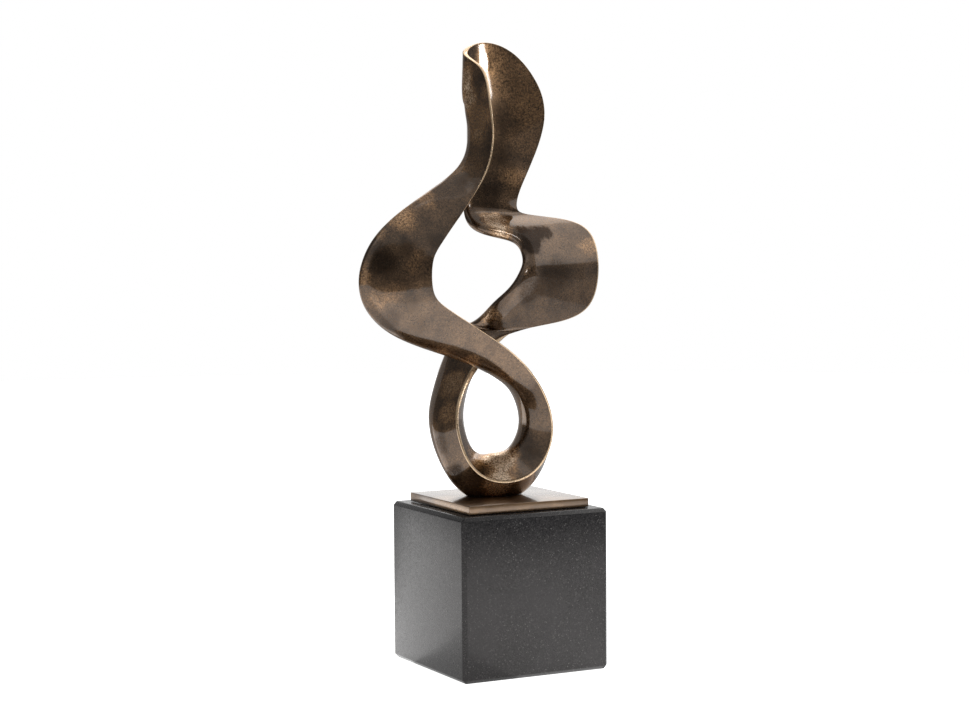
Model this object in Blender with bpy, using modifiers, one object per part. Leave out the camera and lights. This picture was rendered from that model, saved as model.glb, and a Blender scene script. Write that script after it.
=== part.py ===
"""Abstract sculpture: a closed ribbon of cast bronze on a square bronze plate and a granite cube.

The origin is the centre of the cube's underside. +X runs along the cube's front face to the
right, +Y runs to the back and +Z is up. Everything is in metres, except the ribbon's stations,
which are in millimetres.
"""

import math

import bmesh
import bpy
import numpy as np
from mathutils import Vector

MM = 0.001

# Driving sizes
CUBE = 0.130
CUBE_CHAMFER = 0.003
PLATE_SIDE = 0.107
PLATE_THICKNESS = 0.0072
PLATE_ARRIS = 0.0006
GAP = 0.0003
PLATE_BOTTOM = CUBE + GAP
PLATE_TOP = PLATE_BOTTOM + PLATE_THICKNESS
FOOT_HEIGHT = PLATE_TOP + GAP

# The ribbon's mesh
RINGS = 144
KEEN_STEPS = 7
BLUNT_STEPS = 6

# The ribbon is a closed band with a thin keen edge and a round blunt edge. Each station is a cut
# across it: the two edges' points in millimetres, the greatest thickness, how far across the
# thickest place lies from the keen edge, half the keen edge's own width, and the bulge towards
# the band's first face. That face looks into the loop at the foot, and forwards on the left.
STATIONS = (
    # The loop, from the foot up its right side
    ((-10, -22, 151), (-10, 24, 151), 40.2, 0.52, 0.7, 0.8),
    ((16, -26, 156), (16.6, 22, 156), 37.6, 0.52, 0.7, 1.5),
    ((32, -27.2, 175.2), (30.2, 19.6, 175.6), 27.8, 0.44, 0.6, 3.1),
    ((34.8, -27.8, 198.6), (32, 16.2, 199), 20.8, 0.41, 0.6, 3.6),
    ((25, -29.6, 223.8), (20.2, 9.4, 222.2), 18.2, 0.43, 0.6, 3.4),
    # The front crossing
    ((6.2, -31.6, 246.4), (-2.6, -3.4, 234.6), 15.8, 0.45, 0.6, 2.2),
    ((-19.4, -30, 266.4), (-40, -10.6, 249.2), 14, 0.49, 0.6, -0.8),
    # The left lobe
    ((-61.2, -36.2, 290.6), (-98.2, -21.4, 268.8), 14.4, 0.68, 0.7, -0.8),
    ((-75.4, -38.2, 304.8), (-127.8, -31.4, 288.6), 12, 0.79, 0.7, -0.3),
    ((-76.2, -38, 324.4), (-136.8, -33.8, 314), 11, 0.83, 0.7, -0.3),
    ((-66.8, -33.8, 341), (-119.8, -29.4, 349.2), 9.8, 0.84, 0.7, -0.7),
    # The neck
    ((-30.6, -25.4, 383.4), (-47.2, -2.8, 391.6), 9, 0.85, 0.7, -0.1),
    ((-18, -25, 409), (-21.2, 10.2, 411.8), 8.8, 0.83, 0.7, 1.4),
    ((-14, -22, 432.4), (-16.2, 16.4, 432.8), 6.6, 0.81, 0.8, 1.6),
    # The fold at the top, fanned about the blunt edge
    ((-15.2, -18.6, 456.6), (-17.6, 18.2, 447), 6, 0.8, 1, 0.5),
    ((-15.6, -5.4, 481.4), (-18.4, 19, 452.4), 6, 0.6, 1.5, 0.2),
    ((-19.6, 15, 494), (-17.8, 20.2, 453.6), 6, 0.6, 2, -0.6),
    ((-1.4, 26.4, 503.6), (-15.4, 21.6, 452.4), 6, 0.6, 1.8, 1.1),
    # The tall petal behind it
    ((24.4, 26.8, 499.2), (-14.4, 22.6, 449), 8.6, 0.88, 1.2, 3.9),
    ((47, 23.8, 477.6), (-14.4, 22.8, 440), 8.8, 0.86, 1, 6),
    ((55, 19.2, 443.4), (-14.4, 22.8, 425.8), 8.6, 0.83, 1, 6.1),
    ((30.4, 14.4, 387), (-18, 20.4, 384.2), 8.6, 0.82, 1.2, 2.2),
    # The seat below the petal, fanned about the keen edge
    ((27, 16.2, 370.2), (-20.2, 17.4, 365.2), 8.2, 0.83, 1.5, 1.5),
    ((35, 16.6, 364.2), (-16.6, 7.2, 353.4), 9.2, 0.85, 1.5, -0.3),
    # The right lobe
    ((76.8, 10.6, 357.8), (12, -5.2, 343.2), 10.2, 0.85, 1, 0.1),
    ((89.4, 0, 344.8), (17.4, -11, 331.6), 10, 0.85, 1, 1.1),
    ((89.6, -8.4, 319.6), (14, -15.6, 321.2), 10.4, 0.86, 1, 1.1),
    ((82.2, -4.4, 289.2), (5, -13, 305.6), 12.6, 0.83, 1.2, 0.5),
    ((55, 2.6, 276.6), (-5.4, -2.4, 292), 13.8, 0.78, 1.5, 0.7),
    ((23.2, 4, 271), (-11.8, 12.6, 279.4), 16.6, 0.73, 2, 1),
    # The rear crossing, and down the loop's left side
    ((-4.8, 1.4, 256.8), (-16.2, 36, 270.2), 18.2, 0.62, 2.4, 1.9),
    ((-38.2, -7.8, 216.4), (-36.6, 38.6, 217.2), 24, 0.57, 1.2, 3.5),
    ((-42.2, -14.2, 189.4), (-39.6, 31.2, 189.6), 26.6, 0.57, 0.8, 2.2),
    ((-32, -18.4, 163), (-29.4, 26.6, 165), 29.6, 0.56, 0.7, 0.9),
)


def clear_scene():
    for thing in list(bpy.data.objects):
        bpy.data.objects.remove(thing, do_unlink=True)


def new_collection(name):
    collection = bpy.data.collections.new(name)
    bpy.context.scene.collection.children.link(collection)
    return collection


def new_material(name, colour, metallic, roughness):
    material = bpy.data.materials.new(name)
    material.use_nodes = True
    shader = material.node_tree.nodes["Principled BSDF"]
    shader.inputs["Base Color"].default_value = (*colour, 1.0)
    shader.inputs["Metallic"].default_value = metallic
    shader.inputs["Roughness"].default_value = roughness
    material.diffuse_color = (*colour, 1.0)
    return material


def add_box(name, size, centre, collection, material=None):
    """A box of the given X, Y and Z sizes about its centre."""
    shape = bmesh.new()
    bmesh.ops.create_cube(shape, size=1.0)
    bmesh.ops.scale(shape, vec=Vector(size), verts=shape.verts)
    mesh = bpy.data.meshes.new(name)
    shape.to_mesh(mesh)
    shape.free()
    if material:
        mesh.materials.append(material)
    box = bpy.data.objects.new(name, mesh)
    box.location = centre
    collection.objects.link(box)
    return box


def bevel_edges(thing, width, segments):
    bevel = thing.modifiers.new("arrises", "BEVEL")
    bevel.width = width
    bevel.segments = segments
    bevel.limit_method = "ANGLE"
    bevel.angle_limit = math.radians(40)


def closed_spline(rows, count):
    """Even samples of the smooth closed curve through the rows, all columns at once.

    The knots are spaced by the square root of the distance that both edges travel.
    """
    following = np.roll(rows, -1, axis=0)
    keen_move = np.linalg.norm(following[:, 0:3] - rows[:, 0:3], axis=1)
    blunt_move = np.linalg.norm(following[:, 3:6] - rows[:, 3:6], axis=1)
    spans = np.sqrt(keen_move + blunt_move)
    size = len(rows)
    matrix = np.zeros((size, size))
    target = np.zeros_like(rows)
    for i in range(size):
        before = spans[i - 1]
        after = spans[i]
        matrix[i, i - 1] += after
        matrix[i, i] += 2 * (before + after)
        matrix[i, (i + 1) % size] += before
        arriving = (rows[i] - rows[i - 1]) / before
        leaving = (following[i] - rows[i]) / after
        target[i] = 3 * (after * arriving + before * leaving)
    slopes = np.linalg.solve(matrix, target)

    knots = np.concatenate([[0.0], np.cumsum(spans)])
    places = np.linspace(0, knots[-1], count, endpoint=False)
    span = np.clip(np.searchsorted(knots, places, side="right") - 1, 0, size - 1)
    u = ((places - knots[span]) / spans[span])[:, None]
    scale = spans[span][:, None]
    start_slope = scale * slopes[span]
    end_slope = scale * slopes[(span + 1) % size]
    start_value = (2 * u**3 - 3 * u**2 + 1) * rows[span] + (u**3 - 2 * u**2 + u) * start_slope
    end_value = (3 * u**2 - 2 * u**3) * following[span] + (u**3 - u**2) * end_slope
    return start_value + end_value


def across_steps(widest):
    """Places across the band, 0 at the keen edge and 1 at the blunt edge's tip."""
    keen = [widest * i / KEEN_STEPS for i in range(KEEN_STEPS + 1)]
    turns = [math.pi / 2 * i / BLUNT_STEPS for i in range(1, BLUNT_STEPS + 1)]
    return keen + [widest + (1 - widest) * math.sin(turn) for turn in turns]


def half_thickness(place, thickness, widest, rim):
    """A wedge that swells from the keen edge's rim to the widest place, then a half ellipse."""
    if place <= widest:
        x = place / widest
        return rim + (thickness / 2 - rim) * (5 * x - x**5) / 4
    y = (place - widest) / (1 - widest)
    return thickness / 2 * math.sqrt(max(0.0, 1 - y * y))


def ring_points(row, travel):
    """The closed section at one cut: out along the first face and back along the second."""
    keen = Vector(row[0:3])
    blunt = Vector(row[3:6])
    thickness, widest, rim, bulge = row[6:10]
    chord = blunt - keen
    side = travel.cross(chord).normalized()
    first_face = []
    second_face = []
    for place in across_steps(widest):
        middle = keen + place * chord + bulge * 4 * place * (1 - place) * side
        half = half_thickness(place, thickness, widest, rim)
        first_face.append(middle + half * side)
        second_face.append(middle - half * side)
    tip = first_face.pop()
    second_face.pop()
    return first_face + [tip] + second_face[::-1]


def loft_closed(rings):
    """A closed tube through rings with the same number of points, joined end to end."""
    shape = bmesh.new()
    grid = [[shape.verts.new(point * MM) for point in ring] for ring in rings]
    around = len(grid[0])
    for i, ring in enumerate(grid):
        ahead = grid[(i + 1) % len(grid)]
        for j in range(around):
            k = (j + 1) % around
            shape.faces.new((ring[j], ahead[j], ahead[k], ring[k]))
    bmesh.ops.recalc_face_normals(shape, faces=shape.faces)
    return shape


def build_ribbon(collection, cutters, material):
    rows = np.array([(*keen, *blunt, *rest) for keen, blunt, *rest in STATIONS], dtype=float)
    cuts = closed_spline(rows, RINGS)
    middles = (cuts[:, 0:3] + cuts[:, 3:6]) / 2
    rings = []
    for i, row in enumerate(cuts.tolist()):
        travel = Vector(middles[(i + 1) % RINGS] - middles[i - 1])
        rings.append(ring_points(row, travel))
    shape = loft_closed(rings)
    mesh = bpy.data.meshes.new("ribbon")
    shape.to_mesh(mesh)
    shape.free()
    mesh.materials.append(material)
    mesh.shade_smooth()
    mesh.set_sharp_from_angle(angle=math.radians(50))
    ribbon = bpy.data.objects.new("ribbon", mesh)
    collection.objects.link(ribbon)

    # The loop's underside is ground flat where it stands on the plate.
    block = 0.100
    centre = (-0.010, 0, FOOT_HEIGHT - block / 2)
    cutter = add_box("foot_cutter", (block, block, block), centre, cutters)
    cutter.hide_render = True
    cutter.display_type = "WIRE"
    trim = ribbon.modifiers.new("flat foot", "BOOLEAN")
    trim.operation = "DIFFERENCE"
    trim.object = cutter
    trim.solver = "EXACT"


def build_base_plate(collection, material):
    size = (PLATE_SIDE, PLATE_SIDE, PLATE_THICKNESS)
    centre = (0, 0, PLATE_BOTTOM + PLATE_THICKNESS / 2)
    plate = add_box("base_plate", size, centre, collection, material)
    bevel_edges(plate, PLATE_ARRIS, 1)


def build_plinth(collection, material):
    plinth = add_box("plinth", (CUBE, CUBE, CUBE), (0, 0, CUBE / 2), collection, material)
    bevel_edges(plinth, CUBE_CHAMFER, 1)


def main():
    clear_scene()
    sculpture = new_collection("ribbon_sculpture")
    cutters = new_collection("cutters")
    bronze = new_material("patinated_bronze", (0.105, 0.066, 0.038), 1.0, 0.38)
    plate_bronze = new_material("plate_bronze", (0.17, 0.10, 0.055), 1.0, 0.35)
    granite = new_material("black_granite", (0.022, 0.022, 0.024), 0.0, 0.42)
    build_plinth(sculpture, granite)
    build_base_plate(sculpture, plate_bronze)
    build_ribbon(sculpture, cutters, bronze)


main()
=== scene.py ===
"""Looks of the bronze ribbon sculpture: patinated bronze ribbon, bronze plate, granite cube."""

import math

import bmesh
import bpy
import numpy as np
from mathutils import Matrix, Vector, noise


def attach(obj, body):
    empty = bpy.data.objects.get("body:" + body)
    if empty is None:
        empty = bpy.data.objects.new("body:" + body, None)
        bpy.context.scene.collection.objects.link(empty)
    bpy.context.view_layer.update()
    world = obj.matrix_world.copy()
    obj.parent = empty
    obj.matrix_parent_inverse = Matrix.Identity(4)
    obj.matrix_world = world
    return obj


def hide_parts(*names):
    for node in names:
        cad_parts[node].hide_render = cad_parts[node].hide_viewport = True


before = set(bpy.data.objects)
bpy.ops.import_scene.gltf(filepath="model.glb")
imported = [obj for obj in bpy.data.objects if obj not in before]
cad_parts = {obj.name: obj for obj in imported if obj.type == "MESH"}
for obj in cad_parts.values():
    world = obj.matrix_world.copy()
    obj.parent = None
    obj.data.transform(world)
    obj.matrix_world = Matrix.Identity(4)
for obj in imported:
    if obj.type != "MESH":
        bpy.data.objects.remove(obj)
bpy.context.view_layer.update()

MM = 0.001

# Sizes of the solids, in metres
CUBE = 0.130
CUBE_CHAMFER = 0.003
PLATE_SIDE = 0.107
PLATE_BOTTOM = 0.1303
PLATE_THICKNESS = 0.0072
FOOT_HEIGHT = 0.1378

# Rounding of the arrises: width in metres, and steps
STONE_ARRIS = 0.0005
STONE_ARRIS_STEPS = 3
PLATE_ARRIS = 0.0006
PLATE_ARRIS_STEPS = 4

# Edges that turn more than this many degrees stay sharp in the shading
RIBBON_CREASE = 50
STONE_CREASE = 25
PLATE_CREASE = 35

# Edges that turn more than this many degrees are bevelled: a block's own, and its chamfers'
SQUARE_EDGE = 60
CHAMFER_EDGE = 20

# The ribbon's surface: cuts along it, and steps over the keen edge's rim and each half of a cut
RINGS = 520
RIM_STEPS = 5
KEEN_STEPS = 34
BLUNT_STEPS = 14

# The keen edge's rim: its depth as a share of half its width, and how round it is across, where
# one is an ellipse and less is squarer
RIM_DEPTH = 0.45
RIM_ROUNDNESS = 0.7

# Points nearer together than this, in metres, are one point
MERGE_GAP = 1e-7

# The cast surface's slow and quick waves: depth and length in millimetres
SLOW_WAVE = (0.10, 17)
QUICK_WAVE = (0.035, 6)
QUICK_WAVE_START = (40, 0, 0)

# A shallow run in the cast surface inside the scoop: its place, reach and depth in millimetres
RUN_PLACE = (7.2, 26.0, 488.0)
RUN_REACH = (1.2, 3.0, 6.5)
RUN_DEPTH = 0.3

# The camera: place and clipping in metres, angles in degrees, focal length in pixels
CAMERA_PLACE = (-0.81168, -1.54578, 0.35486)
CAMERA_AZIMUTH = -27.36
CAMERA_ELEVATION = 3.62
CAMERA_ROLL = -0.4
FOCAL_PIXELS = 2164.6
IMAGE_WIDTH = 969
SENSOR_WIDTH = 36.0
CAMERA_CLIP = (0.05, 50)

# The small studio lights: name, place, the point aimed at, width and height, watts, and spread
# in degrees. A narrow spread keeps a glint to the spot that it is aimed at.
LIGHTS = (
    ("scoop_glint", (0.268, -0.202, 0.522), (0.003, 0.025, 0.49), (0.080, 0.022), 0.007, 40),
    ("lip_glint", (-0.012, -0.281, 0.462), (0.003, -0.003, 0.35), (0.10, 0.12), 0.0024, 12),
    ("loop_glint", (0.325, -0.36, 0.336), (-0.031, -0.005, 0.228), (0.08, 0.08), 0.00125, 12),
    ("rear_top", (0.93, 1.2, 2.9), (0, 0, 0.35), (0.3, 0.3), 1.8, 180),
)

# The studio's walls: a plain tone, and the parts painted over it one after another. A part has
# its left and right sides in degrees about the object, from the front towards the right, its
# bottom and top as sines of elevation, and its tone. A side past 180 degrees or a sine past 1
# is no border.
WALL_TONE = 1.5
WALL_SOFTNESS = 2.0
HEIGHT_SOFTNESS = 0.03
WALL_PARTS = (
    (-400, 400, 0.84, 2, 0.62),
    (-155, 45, -2, 0.84, 0.50),
    (-60, -20, 0.84, 0.94, 1.1),
    (-155, -80, -2, 0.95, 0.20),
    (-155, -100, -2, 0.76, 0.14),
    (-80, -15, -2, 0.57, 0.38),
    (-15, 22, -2, 0.57, 0.23),
    (-15, 45, -2, 0.41, 0.10),
    (45, 135, -2, 0.29, 0.30),
    (168, 400, -2, 0.84, 0.35),
    (-400, -155, -2, 0.84, 0.35),
    (135, 175, -2, 0.29, 0.9),
    (112, 170, 0.29, 0.86, 2.2),
)

# The floor in metres, its parts in degrees about the object, how far out they end and fade,
# and their tones as the bronze sees them. The right part grows dim over the FLOOR_DIM
# distances, and all is dim outside the FLOOR_LIT degrees. The camera sees the floor white.
FLOOR_RADIUS = 3.5
FLOOR_SIDES = 96
FLOOR_DROP = 0.0005
FLOOR_LEFT_GLOW = 0.65
FLOOR_FRONT = (-15, 45)
FLOOR_FRONT_GLOW = 1.15
FLOOR_FRONT_END = 1.25
FLOOR_FRONT_FADE = 0.2
FLOOR_BACK = (-162, -118)
FLOOR_BACK_GLOW = 1.3
FLOOR_BACK_END = 1.7
FLOOR_BACK_FADE = 0.1
FLOOR_RIGHT = (45, 110)
FLOOR_RIGHT_GLOW = 0.15
FLOOR_DIM = (0.42, 0.50)
FLOOR_LIT = (-160, 112)
FLOOR_PAINT = 0.85
FLOOR_DIM_PAINT = 0.55
FLOOR_ROUGHNESS = 0.9
FLOOR_SEEN = 1.2
ROOM_SEEN = 1.0

# A range below is a value's low and high end, and then, where they aren't nothing and one,
# what comes out at them. A pattern is its cells to a metre, its detail and its roughness.

# Cast bronze: its grain, and its pits, which come in patches
CAST_GRAIN = (1300, 3, 0.6)
GRAIN_RELIEF = 0.00002
PIT_CELLS = 1050
PIT_PATCHES = (95, 3)
PIT_SIZE = (0.3, 0.62, 0.0, 0.36)
PIT_RIM = (0.0, 0.12)
PIT_RELIEF = 0.00012
PIT_STRENGTH = 0.8
PIT_DARKENING = 0.6
RELIEF_STRENGTH = 0.5

# The ribbon's bronze: its colours from the darkest patina to the bare keen edge. The darkest
# colour also paints shade, the rubbed and brightest golds also paint highlights, and the keen
# edge's gold is partly a painted highlight
DARKEST_PATINA_AND_SHADE = (0.026, 0.016, 0.010)
PATINA_DARK = (0.070, 0.042, 0.024)
PATINA_BROWN = (0.135, 0.082, 0.046)
PATINA_STREAK = (0.17, 0.103, 0.056)
RUBBED_GOLD_AND_HIGHLIGHT = (0.37, 0.213, 0.105)
PALE_GOLD_AND_HIGHLIGHT = (0.68, 0.51, 0.355)
KEEN_EDGE_AND_HIGHLIGHT = (0.70, 0.50, 0.31)
RIBBON_PIT = (0.014, 0.010, 0.008)
BRONZE_SHEEN = (0.62, 0.46, 0.34, 1)
PATINA_CLOUDS = (42, 5, 0.65)
CLOUD_RANGE = (0.36, 0.64)
PATINA_STREAKS = (95, 4, 0.6)
STREAK_RANGE = (0.35, 0.7, 0.0, 0.35)
PATINA_FLECKS = (700, 3, 0.75)
FLECK_RANGE = (0.32, 0.68, 0.62, 1.38)
PATCH_FLECK_RANGE = (0.36, 0.62, 0.55, 1.35)
PATCH_PIT_RANGE = (0.0, 1.2, 1.03, 1.3)
BRIGHT_RANGE = (0.8, 2.0)
DARK_STRENGTH = 0.8
PATINA_MOTTLE = (330, 3, 0.6)
MOTTLE_RELIEF = 0.00005
RIBBON_ROUGHNESS = (0.3, 0.75, 0.26, 0.36)
RIBBON_COAT = (0.2, 1.2, 1.0, 0.3)
RIBBON_COAT_ROUGHNESS = 0.07

# The plate's bronze
PLATE_BROWN = (0.17, 0.105, 0.06)
PLATE_TAN = (0.34, 0.215, 0.12)
PLATE_BRUSHED = (0.20, 0.14, 0.09)
PLATE_PIT = (0.02, 0.014, 0.01)
PLATE_PIT_AMOUNT = 0.7
PLATE_CLOUDS = (30, 4)
PLATE_CLOUD_RANGE = (0.35, 0.7)
PLATE_BRUSHING = (60, 5, 0.7)
PLATE_BRUSH_STRETCH = (1.0, 14.0, 14.0)
PLATE_BRUSH_RANGE = (0.45, 0.75)
PLATE_RELIEF = 0.00003
PLATE_ROUGHNESS = (0.3, 0.75, 0.26, 0.40)
PLATE_COAT_ROUGHNESS = 0.06

# The granite: its dark and grey ground, its lighter cells and its few pale grains
GRANITE_DARK = (0.009, 0.009, 0.010)
GRANITE_GREY = (0.016, 0.016, 0.017)
GRANITE_CELL = (0.026, 0.025, 0.026)
GRANITE_PALE = (0.13, 0.125, 0.12)
GRANITE_GRAINS = 1000
GRANITE_PALE_SHARE = (0.87, 0.97)
GRANITE_PALE_SIZE = (0.55, 0.2)
GRANITE_CELL_SHARE = (0.6, 0.9)
GRANITE_CLOUDS = (25, 4)
GRANITE_CLOUD_RANGE = (0.35, 0.7)
GRANITE_FINE = (900, 3)
GRANITE_RELIEF = 0.00003
GRANITE_ROUGHNESS = (0.0, 1.0, 0.16, 0.30)
GRANITE_SPECULAR = 0.45
GRANITE_SHEEN = (1.0, 0.95, 0.925, 1)

# How far the borders of the patches of patina, painted light and painted shade stray, in metres,
# the pattern that they stray by, and the share of a patch's radius that has its full strength
PATCH_STRAY = 0.020
PATCH_STRAY_PATTERN = (70, 5, 0.65)
PATCH_CORE = 0.35

# Places on the ribbon where the colour is lightened (above zero) or darkest (below zero): place
# and radius in millimetres, and strength. Lightened places are rubbed golden patina, with painted
# highlights on the seat, lip and loop; darkened places on the lobes and the loop are painted
# shade and dark reflections.
PATINA_AND_PAINTED_LIGHT_PLACES = (
    # Petal and scoop
    ((9, 26, 491), 20, 0.5),
    ((30, 24, 470), 34, 0.3),
    ((46, 23, 450), 22, 0.4),
    ((37, 20, 425), 20, 0.3),
    ((22, 16, 394), 13, 0.4),
    # Neck
    ((-21, 11, 474), 14, 1.2),
    ((-21, 9, 457), 15, 1.1),
    ((-20, -5, 440), 22, 0.5),
    ((-16, -14, 462), 9, 0.6),
    ((-20, -7, 426), 12, 0.5),
    ((-30, -10, 405), 20, 0.3),
    # Left lobe
    ((-98, -27, 365), 18, 0.8),
    ((-74, -20, 377), 12, 0.5),
    ((-118, -31, 350), 10, 0.4),
    ((-92, -39, 328), 12, 0.3),
    ((-110, -40, 302), 12, 0.3),
    ((-134, -36, 318), 9, 0.7),
    ((-122, -38, 300), 11, 0.3),
    # Seat, lip and right lobe: golden patina, with painted highlights where the seat and lip
    # reflect the bright room
    ((2, 6, 360), 15, 1.5),
    ((3, -2, 351), 12, 1.2),
    ((84, -6, 338), 12, 0.6),
    ((-9, 1, 285), 11, 1.1),
    # Loop and foot: golden patina, and on the bowl also a painted highlight of the bright room
    # above
    ((-37, 7, 228), 18, 0.9),
    ((-45, -1, 207), 13, 0.8),
    ((-2, -7, 167), 20, 1.9),
    ((-27, -9, 170), 13, 1.2),
    ((-10, -20, 147), 18, 2.0),
    # Front crossing
    ((-61, -19, 256), 11, 0.5),
    ((-33, -17, 247), 12, 0.7),
    ((-8, -20, 235), 12, 0.5),
    # Dark places on the petal and the neck
    ((11, 25, 448), 17, -0.6),
    ((13, 20, 415), 17, -0.5),
    ((-1, 16, 378), 18, -0.7),
    ((-36, -18, 390), 12, -0.6),
    # Dark places on the left lobe: a painted dark reflection of the dim room in front
    ((-117, -39, 328), 17, -0.9),
    ((-98, -36, 340), 12, -0.5),
    ((-70, -34, 344), 12, -0.5),
    ((-113, -35, 282), 14, -0.5),
    ((-96, -39, 295), 14, -0.4),
    ((-86, -34, 278), 14, -0.45),
    # Dark places on the right lobe: a painted dark reflection of the sculpture itself and the dim
    # room
    ((22, -5, 351), 9, -1.4),
    ((31, -6, 348), 13, -1.5),
    ((26, -11, 341), 12, -1.5),
    ((42, -4, 350), 10, -1.4),
    ((45, -15, 315), 24, -0.7),
    ((21, -18, 303), 17, -0.8),
    ((3, -9, 291), 13, -0.4),
    # Dark places on the loop: a painted dark reflection of the dim room
    ((-50, 4, 182), 14, -0.7),
    ((-39, -1, 158), 14, -1.2),
    ((20, -18, 174), 12, -0.5),
)

# How far the rubbed gold reaches in from the keen edge, in millimetres, by station number, how
# far that wanders, and the share of it that is full gold. The gold is bare rubbed bronze, and
# where it widens at the fold's tip, the right lobe and the rear crossing it is also a painted
# highlight on the rim
EDGE_STATIONS = (0, 5, 9, 12, 14, 16, 18, 23, 24.5, 27.5, 29, 30.5, 31.5, 33)
EDGE_WIDTHS = (0.4, 0.4, 0.45, 0.4, 0.55, 1.0, 0.5, 0.6, 1.7, 1.7, 0.7, 2.4, 1.0, 0.5)
EDGE_WANDER = 0.25
EDGE_WANDER_PATTERN = (150, 3)
EDGE_CORE = 0.55

# Stations of the ribbon, in millimetres: keen edge, blunt edge, greatest thickness, how far
# across it lies, half the keen edge's own width, and the bulge towards the first face.
STATIONS = (
    # The loop, from the foot up its right side
    ((-10, -22, 151), (-10, 24, 151), 40.2, 0.52, 0.7, 0.8),
    ((16, -26, 156), (16.6, 22, 156), 37.6, 0.52, 0.7, 1.5),
    ((32, -27.2, 175.2), (30.2, 19.6, 175.6), 27.8, 0.44, 0.6, 3.1),
    ((34.8, -27.8, 198.6), (32, 16.2, 199), 20.8, 0.41, 0.6, 3.6),
    ((25, -29.6, 223.8), (20.2, 9.4, 222.2), 18.2, 0.43, 0.6, 3.4),
    # The front crossing
    ((6.2, -31.6, 246.4), (-2.6, -3.4, 234.6), 15.8, 0.45, 0.6, 2.2),
    ((-19.4, -30, 266.4), (-40, -10.6, 249.2), 14, 0.49, 0.6, -0.8),
    # The left lobe
    ((-61.2, -36.2, 290.6), (-98.2, -21.4, 268.8), 14.4, 0.68, 0.7, -0.8),
    ((-75.4, -38.2, 304.8), (-127.8, -31.4, 288.6), 12, 0.79, 0.7, -0.3),
    ((-76.2, -38, 324.4), (-136.8, -33.8, 314), 11, 0.83, 0.7, -0.3),
    ((-66.8, -33.8, 341), (-119.8, -29.4, 349.2), 9.8, 0.84, 0.7, -0.7),
    # The neck
    ((-30.6, -25.4, 383.4), (-47.2, -2.8, 391.6), 9, 0.85, 0.7, -0.1),
    ((-18, -25, 409), (-21.2, 10.2, 411.8), 8.8, 0.83, 0.7, 1.4),
    ((-14, -22, 432.4), (-16.2, 16.4, 432.8), 6.6, 0.81, 0.8, 1.6),
    # The fold at the top, fanned about the blunt edge
    ((-15.2, -18.6, 456.6), (-17.6, 18.2, 447), 6, 0.8, 1, 0.5),
    ((-15.6, -5.4, 481.4), (-18.4, 19, 452.4), 6, 0.6, 1.5, 0.2),
    ((-19.6, 15, 494), (-17.8, 20.2, 453.6), 6, 0.6, 2, -0.6),
    ((-1.4, 26.4, 503.6), (-15.4, 21.6, 452.4), 6, 0.6, 1.8, 1.1),
    # The tall petal behind it
    ((24.4, 26.8, 499.2), (-14.4, 22.6, 449), 8.6, 0.88, 1.2, 3.9),
    ((47, 23.8, 477.6), (-14.4, 22.8, 440), 8.8, 0.86, 1, 6),
    ((55, 19.2, 443.4), (-14.4, 22.8, 425.8), 8.6, 0.83, 1, 6.1),
    ((30.4, 14.4, 387), (-18, 20.4, 384.2), 8.6, 0.82, 1.2, 2.2),
    # The seat below the petal, fanned about the keen edge
    ((27, 16.2, 370.2), (-20.2, 17.4, 365.2), 8.2, 0.83, 1.5, 1.5),
    ((35, 16.6, 364.2), (-16.6, 7.2, 353.4), 9.2, 0.85, 1.5, -0.3),
    # The right lobe
    ((76.8, 10.6, 357.8), (12, -5.2, 343.2), 10.2, 0.85, 1, 0.1),
    ((89.4, 0, 344.8), (17.4, -11, 331.6), 10, 0.85, 1, 1.1),
    ((89.6, -8.4, 319.6), (14, -15.6, 321.2), 10.4, 0.86, 1, 1.1),
    ((82.2, -4.4, 289.2), (5, -13, 305.6), 12.6, 0.83, 1.2, 0.5),
    ((55, 2.6, 276.6), (-5.4, -2.4, 292), 13.8, 0.78, 1.5, 0.7),
    ((23.2, 4, 271), (-11.8, 12.6, 279.4), 16.6, 0.73, 2, 1),
    # The rear crossing, and down the loop's left side
    ((-4.8, 1.4, 256.8), (-16.2, 36, 270.2), 18.2, 0.62, 2.4, 1.9),
    ((-38.2, -7.8, 216.4), (-36.6, 38.6, 217.2), 24, 0.57, 1.2, 3.5),
    ((-42.2, -14.2, 189.4), (-39.6, 31.2, 189.6), 26.6, 0.57, 0.8, 2.2),
    ((-32, -18.4, 163), (-29.4, 26.6, 165), 29.6, 0.56, 0.7, 0.9),
)


# The ribbon's form

def closed_spline(rows, count):
    """Even samples of the smooth closed curve through the rows, and each one's station number."""
    following = np.roll(rows, -1, axis=0)
    keen_move = np.linalg.norm(following[:, 0:3] - rows[:, 0:3], axis=1)
    blunt_move = np.linalg.norm(following[:, 3:6] - rows[:, 3:6], axis=1)
    spans = np.sqrt(keen_move + blunt_move)
    size = len(rows)
    matrix = np.zeros((size, size))
    target = np.zeros_like(rows)
    for i in range(size):
        before = spans[i - 1]
        after = spans[i]
        matrix[i, i - 1] += after
        matrix[i, i] += 2 * (before + after)
        matrix[i, (i + 1) % size] += before
        arriving = (rows[i] - rows[i - 1]) / before
        leaving = (following[i] - rows[i]) / after
        target[i] = 3 * (after * arriving + before * leaving)
    slopes = np.linalg.solve(matrix, target)

    knots = np.concatenate([[0.0], np.cumsum(spans)])
    places = np.linspace(0, knots[-1], count, endpoint=False)
    span = np.clip(np.searchsorted(knots, places, side="right") - 1, 0, size - 1)
    u = ((places - knots[span]) / spans[span])[:, None]
    scale = spans[span][:, None]
    start_slope = scale * slopes[span]
    end_slope = scale * slopes[(span + 1) % size]
    start_value = (2 * u**3 - 3 * u**2 + 1) * rows[span] + (u**3 - 2 * u**2 + u) * start_slope
    end_value = (3 * u**2 - 2 * u**3) * following[span] + (u**3 - u**2) * end_slope
    return start_value + end_value, span + u[:, 0]


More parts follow.
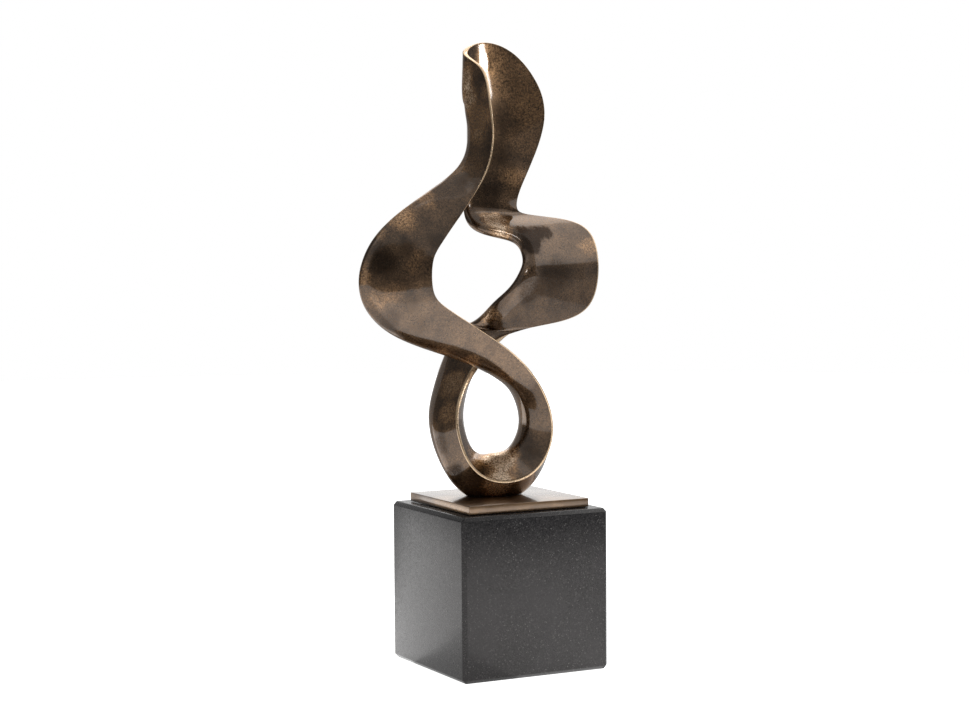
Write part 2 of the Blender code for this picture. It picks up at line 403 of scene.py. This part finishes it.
def half_thickness(place, thickness, widest, rim):
    """A wedge that swells from the keen edge's rim to the widest place, then a half ellipse."""
    if place <= widest:
        x = place / widest
        return rim + (thickness / 2 - rim) * (5 * x - x**5) / 4
    y = (place - widest) / (1 - widest)
    return thickness / 2 * math.sqrt(max(0.0, 1 - y * y))


def half_section(chord, thickness, widest, rim):
    """Places across and half thicknesses, from the rim's middle to the blunt edge's tip."""
    rim_depth = RIM_DEPTH * rim / chord
    rim_edge = half_thickness(rim_depth, thickness, widest, rim)
    section = []
    for i in range(RIM_STEPS):
        turn = math.pi / 2 * i / RIM_STEPS
        depth = rim_depth * (1 - math.cos(turn) ** RIM_ROUNDNESS)
        section.append((depth, rim_edge * math.sin(turn) ** RIM_ROUNDNESS))
    for i in range(KEEN_STEPS + 1):
        place = rim_depth + (widest - rim_depth) * i / KEEN_STEPS
        section.append((place, half_thickness(place, thickness, widest, rim)))
    for i in range(1, BLUNT_STEPS + 1):
        place = widest + (1 - widest) * math.sin(math.pi / 2 * i / BLUNT_STEPS)
        section.append((place, half_thickness(place, thickness, widest, rim)))
    return section


def both_faces(section):
    """The half section along the first face, and back along the other one."""
    return section + [(place, -swell) for place, swell in section[-2:0:-1]]


def ribbon_rings():
    """Each ring's station number, and its points with their depths from the keen edge, in mm."""
    rows = np.array([(*keen, *blunt, *rest) for keen, blunt, *rest in STATIONS], dtype=float)
    cuts, stations = closed_spline(rows, RINGS)
    middles = (cuts[:, 0:3] + cuts[:, 3:6]) / 2
    rings = []
    for i, row in enumerate(cuts.tolist()):
        travel = Vector(middles[(i + 1) % RINGS] - middles[i - 1])
        keen = Vector(row[0:3])
        chord = Vector(row[3:6]) - keen
        thickness, widest, rim, bulge = row[6:10]
        side = travel.cross(chord).normalized()
        points = []
        for place, swell in both_faces(half_section(chord.length, thickness, widest, rim)):
            middle = keen + place * chord + bulge * 4 * place * (1 - place) * side
            points.append((middle + swell * side, place * chord.length))
        rings.append((float(stations[i]), points))
    return rings


def surface_wave(point):
    """Unevenness of the cast and hand-finished surface at a point, all in millimetres."""
    slow = noise.noise(point / SLOW_WAVE[1])
    quick = noise.noise(point / QUICK_WAVE[1] + Vector(QUICK_WAVE_START))
    run = sum(((point[i] - RUN_PLACE[i]) / RUN_REACH[i]) ** 2 for i in range(3))
    return SLOW_WAVE[0] * slow + QUICK_WAVE[0] * quick - RUN_DEPTH * math.exp(-run)


def build_ribbon(material):
    """A grid wrapped onto the rings and closed both ways, waved, and cut flat at the foot."""
    rings = ribbon_rings()
    around = len(rings[0][1])
    shape = bmesh.new()
    shape.loops.layers.uv.new("UVMap")
    bmesh.ops.create_grid(shape, x_segments=RINGS, y_segments=around, size=0.5, calc_uvs=True)
    from_keen = shape.verts.layers.float.new("from_keen_mm")
    edge = shape.verts.layers.float.new("edge_mm")
    for vert in shape.verts:
        ring = round((vert.co.x + 0.5) * RINGS) % RINGS
        step = round((vert.co.y + 0.5) * around) % around
        station, points = rings[ring]
        point, depth = points[step]
        vert[from_keen] = depth
        vert[edge] = float(np.interp(station, EDGE_STATIONS, EDGE_WIDTHS))
        vert.co = point * MM
    bmesh.ops.remove_doubles(shape, verts=shape.verts, dist=MERGE_GAP)
    shape.normal_update()
    if shape.calc_volume(signed=True) < 0:
        bmesh.ops.reverse_faces(shape, faces=shape.faces)
    shape.normal_update()
    moves = [vert.normal * surface_wave(vert.co / MM) * MM for vert in shape.verts]
    for vert, move in zip(shape.verts, moves):
        vert.co += move
    whole = shape.verts[:] + shape.edges[:] + shape.faces[:]
    cut = bmesh.ops.bisect_plane(
        shape, geom=whole, dist=MERGE_GAP, plane_co=(0, 0, FOOT_HEIGHT), plane_no=(0, 0, -1),
        clear_outer=True,
    )
    rim = [item for item in cut["geom_cut"] if isinstance(item, bmesh.types.BMEdge)]
    bmesh.ops.holes_fill(shape, edges=rim, sides=0)
    return finish_piece("bronze_ribbon", shape, material, RIBBON_CREASE)


# The plate, the plinth and the making of objects

def finish_piece(name, shape, material, crease=None):
    """Makes the bmesh an object, smooth apart from sharper creases where an angle is given."""
    mesh = bpy.data.meshes.new(name)
    shape.to_mesh(mesh)
    shape.free()
    mesh.materials.append(material)
    piece = bpy.data.objects.new(name, mesh)
    bpy.context.scene.collection.objects.link(piece)
    if crease:
        mesh.shade_smooth()
        mesh.set_sharp_from_angle(angle=math.radians(crease))
    return piece


def block(low, size):
    """A box as a bmesh, standing on its lowest height, centred on the vertical axis."""
    shape = bmesh.new()
    bmesh.ops.create_cube(shape, size=1.0)
    bmesh.ops.scale(shape, vec=Vector(size), verts=shape.verts)
    bmesh.ops.translate(shape, vec=Vector((0, 0, low + size[2] / 2)), verts=shape.verts)
    return shape


def soften(shape, width, segments, least_angle):
    """Bevels the edges that turn more than an angle in degrees."""
    edges = [edge for edge in shape.edges if edge.calc_face_angle(0) > math.radians(least_angle)]
    bmesh.ops.bevel(
        shape, geom=edges, offset=width, offset_type="OFFSET", affect="EDGES",
        segments=segments, profile=0.5, material=-1,
    )


def build_plinth(material):
    shape = block(0, (CUBE, CUBE, CUBE))
    soften(shape, CUBE_CHAMFER, 1, SQUARE_EDGE)
    soften(shape, STONE_ARRIS, STONE_ARRIS_STEPS, CHAMFER_EDGE)
    return finish_piece("granite_plinth", shape, material, STONE_CREASE)


def build_plate(material):
    shape = block(PLATE_BOTTOM, (PLATE_SIDE, PLATE_SIDE, PLATE_THICKNESS))
    soften(shape, PLATE_ARRIS, PLATE_ARRIS_STEPS, SQUARE_EDGE)
    return finish_piece("bronze_plate", shape, material, PLATE_CREASE)


# Shader helpers

def add(tree, kind, **settings):
    node = tree.nodes.new("ShaderNode" + kind)
    for name, value in settings.items():
        setattr(node, name, value)
    return node


def feed(tree, socket, source):
    """Links a socket to another node's output, or gives it a plain value."""
    if isinstance(source, bpy.types.NodeSocket):
        tree.links.new(source, socket)
    else:
        socket.default_value = source


def noise_node(tree, place, scale, detail=4.0, roughness=0.55):
    node = add(tree, "TexNoise")
    feed(tree, node.inputs["Vector"], place)
    feed(tree, node.inputs["Scale"], scale)
    feed(tree, node.inputs["Detail"], detail)
    feed(tree, node.inputs["Roughness"], roughness)
    return node


def noise_field(tree, place, scale, *character):
    return noise_node(tree, place, scale, *character).outputs["Fac"]


def cells(tree, place, scale):
    """Cells about many scattered points: the distance to the point, and the cell's colour."""
    node = add(tree, "TexVoronoi", feature="F1")
    feed(tree, node.inputs["Vector"], place)
    feed(tree, node.inputs["Scale"], scale)
    return node.outputs["Distance"], node.outputs["Color"]


def between(tree, value, low, high, out_low=0.0, out_high=1.0):
    """The value's place between low and high, smoothed, as a number from out_low to out_high."""
    node = add(tree, "MapRange", interpolation_type="SMOOTHSTEP")
    feed(tree, node.inputs["Value"], value)
    feed(tree, node.inputs["From Min"], low)
    feed(tree, node.inputs["From Max"], high)
    feed(tree, node.inputs["To Min"], out_low)
    feed(tree, node.inputs["To Max"], out_high)
    return node.outputs["Result"]


def sums(tree, operation, first, second=0.0):
    node = add(tree, "Math", operation=operation)
    feed(tree, node.inputs[0], first)
    feed(tree, node.inputs[1], second)
    return node.outputs["Value"]


def blend(tree, factor, first, second):
    """Mixes two colours, or other nodes' outputs."""
    node = add(tree, "Mix", data_type="RGBA", clamp_factor=True)
    feed(tree, node.inputs[0], factor)
    for socket, colour in ((node.inputs[6], first), (node.inputs[7], second)):
        feed(tree, socket, colour if isinstance(colour, bpy.types.NodeSocket) else (*colour, 1))
    return node.outputs[2]


def grey(tone):
    return (tone, tone, tone)


def attribute(tree, name):
    node = add(tree, "Attribute", attribute_type="GEOMETRY", attribute_name=name)
    return node.outputs["Fac"]


def object_place(tree):
    return add(tree, "TexCoord").outputs["Object"]


def bump(tree, height, depth, strength=RELIEF_STRENGTH, under=None):
    node = add(tree, "Bump")
    feed(tree, node.inputs["Strength"], strength)
    feed(tree, node.inputs["Distance"], depth)
    feed(tree, node.inputs["Height"], height)
    if under:
        feed(tree, node.inputs["Normal"], under)
    return node.outputs["Normal"]


def new_material(name):
    material = bpy.data.materials.new(name)
    material.use_nodes = True
    tree = material.node_tree
    return material, tree, tree.nodes["Principled BSDF"].inputs


# Finishes

def casting_group():
    """Scattered fine pits and the grain of cast bronze, shared by the ribbon and the plate."""
    tree = bpy.data.node_groups.new("casting_grain", "ShaderNodeTree")
    for name, way, kind in (
        ("Vector", "INPUT", "NodeSocketVector"),
        ("Pit Amount", "INPUT", "NodeSocketFloat"),
        ("Pits", "OUTPUT", "NodeSocketFloat"),
        ("Grain", "OUTPUT", "NodeSocketFloat"),
    ):
        tree.interface.new_socket(name, in_out=way, socket_type=kind)
    given = tree.nodes.new("NodeGroupInput").outputs
    result = tree.nodes.new("NodeGroupOutput").inputs
    place = given["Vector"]
    near = cells(tree, place, PIT_CELLS)[0]
    amount = sums(tree, "MULTIPLY", noise_field(tree, place, *PIT_PATCHES), given["Pit Amount"])
    hole = sums(tree, "SUBTRACT", between(tree, amount, *PIT_SIZE), near)
    feed(tree, result["Pits"], between(tree, hole, *PIT_RIM))
    feed(tree, result["Grain"], noise_field(tree, place, *CAST_GRAIN))
    return tree


def casting(tree, group, place, amount):
    node = add(tree, "Group", node_tree=group)
    feed(tree, node.inputs["Vector"], place)
    feed(tree, node.inputs["Pit Amount"], amount)
    return node.outputs["Pits"], node.outputs["Grain"]


def patina_and_painted_light(tree, place):
    """Rubbed gold and painted highlight near the listed places, or painted shade below zero."""
    stray = noise_node(tree, place, *PATCH_STRAY_PATTERN)
    moved = add(tree, "VectorMath", operation="MULTIPLY_ADD")
    feed(tree, moved.inputs[0], stray.outputs["Color"])
    feed(tree, moved.inputs[1], (PATCH_STRAY,) * 3)
    feed(tree, moved.inputs[2], place)
    total = 0.0
    for centre, radius, strength in PATINA_AND_PAINTED_LIGHT_PLACES:
        gap = add(tree, "VectorMath", operation="DISTANCE")
        feed(tree, gap.inputs[0], moved.outputs["Vector"])
        feed(tree, gap.inputs[1], [value * MM + PATCH_STRAY / 2 for value in centre])
        reach = radius * MM
        near = between(tree, gap.outputs["Value"], reach, PATCH_CORE * reach, 0.0, strength)
        total = sums(tree, "ADD", near, total)
    return total


def ribbon_bronze(group):
    """Brown flecked patina, rubbed golden and with painted light and shade in places, bare at the
    keen edge.
    """
    material, tree, shader = new_material("patinated_bronze")
    place = object_place(tree)
    cloud = noise_field(tree, place, *PATINA_CLOUDS)
    streaks = noise_field(tree, place, *PATINA_STREAKS)
    fleck = noise_field(tree, place, *PATINA_FLECKS)
    mottle = noise_field(tree, place, *PATINA_MOTTLE)
    grainy = between(tree, fleck, *PATCH_FLECK_RANGE)
    # The listed places: rubbed gold and painted highlight above zero, painted shade below
    rubbed_and_painted_light = sums(tree, "MULTIPLY", patina_and_painted_light(tree, place), grainy)
    dark = sums(tree, "MULTIPLY", rubbed_and_painted_light, -1.0)
    pits, grain = casting(tree, group, place, between(tree, rubbed_and_painted_light, *PATCH_PIT_RANGE))

    brown = blend(tree, between(tree, cloud, *CLOUD_RANGE), PATINA_DARK, PATINA_BROWN)
    brown = blend(tree, between(tree, streaks, *STREAK_RANGE), brown, PATINA_STREAK)
    # The rubbed and brightest golds also paint highlights, and the darkest colour paints shade
    brown = blend(tree, rubbed_and_painted_light, brown, RUBBED_GOLD_AND_HIGHLIGHT)
    brown = blend(tree, between(tree, rubbed_and_painted_light, *BRIGHT_RANGE), brown, PALE_GOLD_AND_HIGHLIGHT)
    brown = blend(tree, sums(tree, "MULTIPLY", dark, DARK_STRENGTH), brown, DARKEST_PATINA_AND_SHADE)
    flecked = add(tree, "VectorMath", operation="SCALE")
    feed(tree, flecked.inputs[0], brown)
    feed(tree, flecked.inputs["Scale"], between(tree, fleck, *FLECK_RANGE))

    # The keen edge's gold is bare bronze, and in its widest stretches also a painted highlight
    wander = noise_field(tree, place, *EDGE_WANDER_PATTERN)
    wander = sums(tree, "MULTIPLY", wander, EDGE_WANDER)
    from_keen = sums(tree, "ADD", attribute(tree, "from_keen_mm"), wander)
    width = attribute(tree, "edge_mm")
    edge = between(tree, from_keen, width, sums(tree, "MULTIPLY", width, EDGE_CORE))
    colour = blend(tree, edge, flecked.outputs["Vector"], KEEN_EDGE_AND_HIGHLIGHT)
    colour = blend(tree, sums(tree, "MULTIPLY", pits, PIT_DARKENING), colour, RIBBON_PIT)

    feed(tree, shader["Base Color"], colour)
    feed(tree, shader["Metallic"], 1.0)
    feed(tree, shader["Specular Tint"], BRONZE_SHEEN)
    feed(tree, shader["Roughness"], between(tree, fleck, *RIBBON_ROUGHNESS))
    feed(tree, shader["Coat Weight"], between(tree, dark, *RIBBON_COAT))
    feed(tree, shader["Coat Roughness"], RIBBON_COAT_ROUGHNESS)
    relief = bump(tree, grain, GRAIN_RELIEF)
    relief = bump(tree, mottle, MOTTLE_RELIEF, under=relief)
    level = sums(tree, "SUBTRACT", 1.0, pits)
    feed(tree, shader["Normal"], bump(tree, level, PIT_RELIEF, PIT_STRENGTH, relief))
    return material


def plate_bronze(group):
    """Brown bronze, brushed from left to right under a clear coat."""
    material, tree, shader = new_material("plate_bronze")
    place = object_place(tree)
    pits, grain = casting(tree, group, place, PLATE_PIT_AMOUNT)
    stretched = add(tree, "Mapping")
    feed(tree, stretched.inputs["Vector"], place)
    feed(tree, stretched.inputs["Scale"], PLATE_BRUSH_STRETCH)
    brushed = noise_field(tree, stretched.outputs["Vector"], *PLATE_BRUSHING)
    cloud = noise_field(tree, place, *PLATE_CLOUDS)
    colour = blend(tree, between(tree, cloud, *PLATE_CLOUD_RANGE), PLATE_BROWN, PLATE_TAN)
    colour = blend(tree, between(tree, brushed, *PLATE_BRUSH_RANGE), colour, PLATE_BRUSHED)
    colour = blend(tree, sums(tree, "MULTIPLY", pits, PIT_DARKENING), colour, PLATE_PIT)
    feed(tree, shader["Base Color"], colour)
    feed(tree, shader["Metallic"], 1.0)
    feed(tree, shader["Roughness"], between(tree, brushed, *PLATE_ROUGHNESS))
    feed(tree, shader["Coat Weight"], 1.0)
    feed(tree, shader["Coat Roughness"], PLATE_COAT_ROUGHNESS)
    relief = bump(tree, brushed, PLATE_RELIEF)
    feed(tree, shader["Normal"], bump(tree, grain, PLATE_RELIEF, under=relief))
    return material


def black_granite():
    """Honed dark stone of small cells, some lighter and a few pale, each with its own gloss."""
    material, tree, shader = new_material("black_granite")
    place = object_place(tree)
    near, shades = cells(tree, place, GRANITE_GRAINS)
    shade = add(tree, "SeparateColor")
    feed(tree, shade.inputs["Color"], shades)
    few = between(tree, shade.outputs["Red"], *GRANITE_PALE_SHARE)
    pale = sums(tree, "MULTIPLY", few, between(tree, near, *GRANITE_PALE_SIZE))
    lighter = between(tree, shade.outputs["Green"], *GRANITE_CELL_SHARE)
    cloud = between(tree, noise_field(tree, place, *GRANITE_CLOUDS), *GRANITE_CLOUD_RANGE)
    ground = blend(tree, cloud, GRANITE_DARK, GRANITE_GREY)
    ground = blend(tree, lighter, ground, GRANITE_CELL)
    gloss = between(tree, shade.outputs["Blue"], *GRANITE_ROUGHNESS)
    feed(tree, shader["Base Color"], blend(tree, pale, ground, GRANITE_PALE))
    feed(tree, shader["Roughness"], gloss)
    feed(tree, shader["Specular IOR Level"], GRANITE_SPECULAR)
    feed(tree, shader["Specular Tint"], GRANITE_SHEEN)
    fine = noise_field(tree, place, *GRANITE_FINE)
    feed(tree, shader["Normal"], bump(tree, fine, GRANITE_RELIEF))
    return material


# The studio

def add_camera():
    azimuth = math.radians(CAMERA_AZIMUTH)
    elevation = math.radians(CAMERA_ELEVATION)
    roll = math.radians(CAMERA_ROLL)
    level = math.cos(elevation)
    back = Vector((math.sin(azimuth) * level, -math.cos(azimuth) * level, math.sin(elevation)))
    level_right = Vector((math.cos(azimuth), math.sin(azimuth), 0))
    level_up = back.cross(level_right)
    right = math.cos(roll) * level_right + math.sin(roll) * level_up
    up = math.cos(roll) * level_up - math.sin(roll) * level_right
    data = bpy.data.cameras.new("camera")
    data.sensor_width = SENSOR_WIDTH
    data.lens = FOCAL_PIXELS / IMAGE_WIDTH * SENSOR_WIDTH
    data.clip_start, data.clip_end = CAMERA_CLIP
    camera = bpy.data.objects.new("camera", data)
    turn = Matrix((right, up, back)).transposed()
    camera.matrix_world = Matrix.Translation(CAMERA_PLACE) @ turn.to_4x4()
    bpy.context.scene.collection.objects.link(camera)
    bpy.context.scene.camera = camera


def add_light(name, place, aim, size, watts, spread):
    data = bpy.data.lights.new(name, "AREA")
    data.shape = "RECTANGLE"
    data.size, data.size_y = size
    data.energy = watts
    data.spread = math.radians(spread)
    light = bpy.data.objects.new(name, data)
    light.location = place
    light.rotation_euler = (Vector(aim) - Vector(place)).to_track_quat("-Z", "Y").to_euler()
    light.visible_camera = False
    bpy.context.scene.collection.objects.link(light)


def heading(tree, place):
    """Degrees about the vertical axis, from the front towards the right, and the height."""
    parts = add(tree, "SeparateXYZ")
    feed(tree, parts.inputs[0], place)
    front = sums(tree, "MULTIPLY", parts.outputs["Y"], -1.0)
    turn = sums(tree, "ARCTAN2", parts.outputs["X"], front)
    return sums(tree, "MULTIPLY", turn, math.degrees(1)), parts.outputs["Z"]


def band(tree, value, low, high, softness):
    """One between the low and high values, with soft borders, and nothing outside them."""
    above = between(tree, value, low - softness, low + softness)
    below = between(tree, value, high + softness, high - softness)
    return sums(tree, "MULTIPLY", above, below)


def add_floor():
    """A pale floor, white to the camera and brighter or dimmer in its parts to the bronze."""
    shape = bmesh.new()
    bmesh.ops.create_circle(shape, cap_ends=True, segments=FLOOR_SIDES, radius=FLOOR_RADIUS)
    bmesh.ops.translate(shape, vec=Vector((0, 0, -FLOOR_DROP)), verts=shape.verts)
    material, tree, shader = new_material("white_floor")
    place = object_place(tree)
    azimuth = heading(tree, place)[0]
    length = add(tree, "VectorMath", operation="LENGTH")
    feed(tree, length.inputs[0], place)
    reach = length.outputs["Value"]

    def inside(end, fade):
        return between(tree, reach, end + fade, end - fade)

    front = band(tree, azimuth, *FLOOR_FRONT, WALL_SOFTNESS)
    front = sums(tree, "MULTIPLY", front, inside(FLOOR_FRONT_END, FLOOR_FRONT_FADE))
    back = band(tree, azimuth, *FLOOR_BACK, WALL_SOFTNESS)
    back = sums(tree, "MULTIPLY", back, inside(FLOOR_BACK_END, FLOOR_BACK_FADE))
    right = band(tree, azimuth, *FLOOR_RIGHT, WALL_SOFTNESS)
    lit = band(tree, azimuth, *FLOOR_LIT, WALL_SOFTNESS)
    dim = sums(tree, "MULTIPLY", right, between(tree, reach, *FLOOR_DIM))
    dim = sums(tree, "MAXIMUM", dim, sums(tree, "SUBTRACT", 1.0, lit))

    glow = blend(tree, front, grey(FLOOR_LEFT_GLOW), grey(FLOOR_FRONT_GLOW))
    glow = blend(tree, back, glow, grey(FLOOR_BACK_GLOW))
    glow = blend(tree, right, glow, grey(FLOOR_RIGHT_GLOW))
    glow = blend(tree, dim, glow, grey(0.0))
    seen = add(tree, "LightPath").outputs["Is Camera Ray"]
    paint = blend(tree, dim, grey(FLOOR_PAINT), grey(FLOOR_DIM_PAINT))
    feed(tree, shader["Base Color"], paint)
    feed(tree, shader["Roughness"], FLOOR_ROUGHNESS)
    feed(tree, shader["Emission Color"], blend(tree, seen, glow, grey(FLOOR_SEEN)))
    feed(tree, shader["Emission Strength"], 1.0)
    floor = finish_piece("floor", shape, material)


def add_room():
    """A white room with dim walls beside and behind the camera, seen white by the camera."""
    world = bpy.data.worlds.new("studio")
    bpy.context.scene.world = world
    world.use_nodes = True
    tree = world.node_tree
    sky = tree.nodes["Background"]
    azimuth, height = heading(tree, add(tree, "TexCoord").outputs["Generated"])
    tone = grey(WALL_TONE)
    for left, right, bottom, top, shade in WALL_PARTS:
        across = band(tree, azimuth, left, right, WALL_SOFTNESS)
        upright = band(tree, height, bottom, top, HEIGHT_SOFTNESS)
        tone = blend(tree, sums(tree, "MULTIPLY", across, upright), tone, grey(shade))
    seen = add(tree, "LightPath").outputs["Is Camera Ray"]
    feed(tree, sky.inputs["Color"], blend(tree, seen, tone, grey(ROOM_SEEN)))
    feed(tree, sky.inputs["Strength"], 1.0)


def main():
    bpy.context.scene.view_settings.view_transform = "Standard"
    group = casting_group()
    ribbon = build_ribbon(ribbon_bronze(group))
    plate = build_plate(plate_bronze(group))
    plinth = build_plinth(black_granite())
    for piece, node, slot in (
        (ribbon, "ribbon", "patinated_bronze"),
        (plate, "base_plate", "plate_bronze"),
        (plinth, "plinth", "black_granite"),
    ):
        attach(piece, "root")
        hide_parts(node)
    add_floor()
    add_room()
    for light in LIGHTS:
        add_light(*light)
    add_camera()


main()
